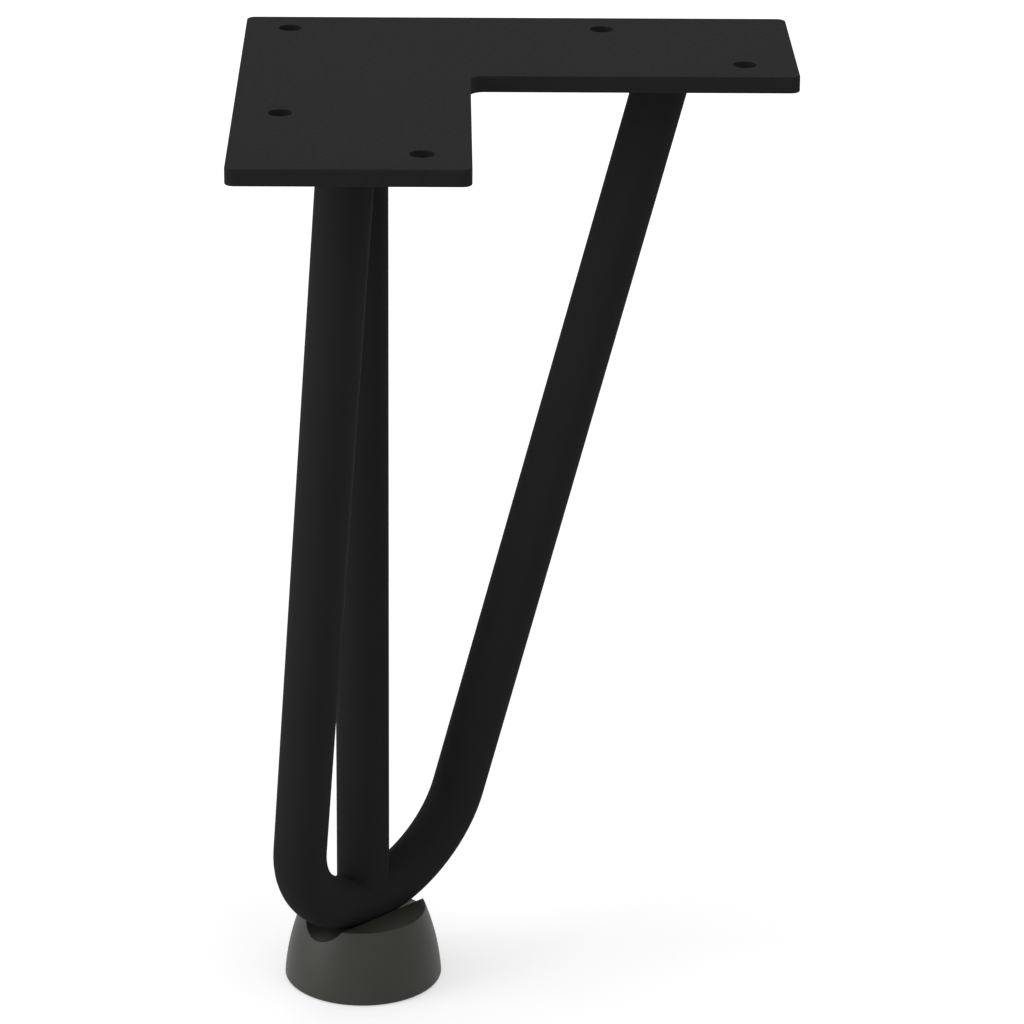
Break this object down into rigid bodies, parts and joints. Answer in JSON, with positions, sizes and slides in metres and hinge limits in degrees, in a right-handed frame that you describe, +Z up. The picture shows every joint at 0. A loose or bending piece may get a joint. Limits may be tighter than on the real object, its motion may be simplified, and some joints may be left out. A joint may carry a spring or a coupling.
{
  "type": "hairpin table leg",
  "caption": "Black steel hairpin leg with an L-shaped screw plate, a bent rod and a straight rod joined at a small bend, and a round grooved foot.",
  "frame": {"origin": "on the plate's top face, where the vertical axis of the straight rod and the foot meets it", "axes": "+Z up, out of the mounting face; +X and -Y run along the plate's two arms from its outer corner"},
  "size_m": [0.12, 0.12, 0.224],
  "materials": {
    "coated_plate": "matte",
    "coated_rod": "satin",
    "coated_weld": "satin",
    "moulded_foot": "matte",
    "screw_steel": "zinc plated"
  },
  "bodies": {
    "root": {"mounting_plate": "coated_plate", "hairpin_rod": "coated_rod", "straight_rod": "coated_rod", "weld_right_arm": "coated_weld", "weld_front_arm": "coated_weld", "weld_corner": "coated_weld", "weld_bend": "coated_weld", "foot_cap": "moulded_foot", "foot_screw": "screw_steel"}
  },
  "joints": []
}
